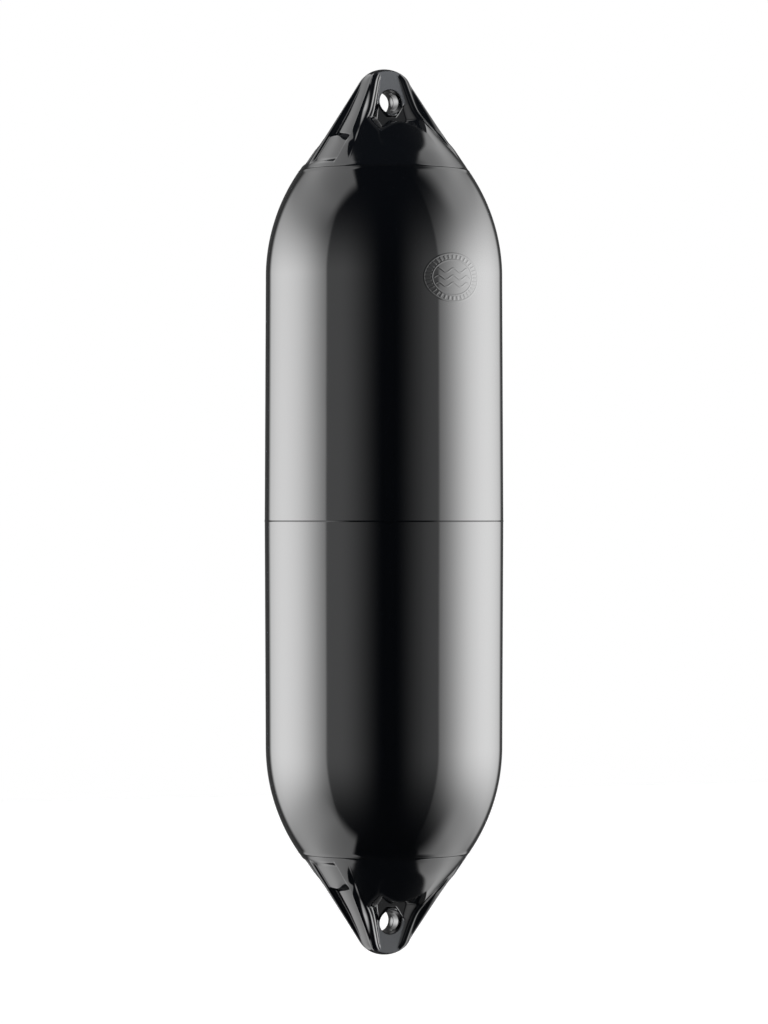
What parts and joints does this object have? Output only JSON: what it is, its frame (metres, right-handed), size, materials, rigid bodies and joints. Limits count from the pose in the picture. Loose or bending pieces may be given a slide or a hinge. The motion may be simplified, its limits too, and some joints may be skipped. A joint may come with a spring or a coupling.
{
  "type": "pneumatic boat fender",
  "caption": "Cylindrical air-filled boat fender in glossy black vinyl, with a ribbed moulded rope eye at each end.",
  "frame": {"origin": "middle of the fender's length, on its axis", "axes": "+Z along the fender towards the rope eye with the valve; the rope holes run along Y; -Y is the front, +Y the valve's side"},
  "size_m": [0.2912, 0.2912, 1.076],
  "materials": {
    "black_vinyl": "high gloss, softly rippled, as the blown vinyl leaves a polished mould",
    "black_moulding": "gloss, solid injection-moulded vinyl",
    "valve_insert": "satin moulded insert",
    "valve_plug": "satin grey plastic screw",
    "seal_rubber": "matt flat seal"
  },
  "bodies": {
    "root": {"body": "black_vinyl", "upper_rope_eye": "black_moulding", "lower_rope_eye": "black_moulding", "valve_body": "valve_insert", "valve_screw": "valve_plug", "valve_seal": "seal_rubber"}
  },
  "joints": []
}
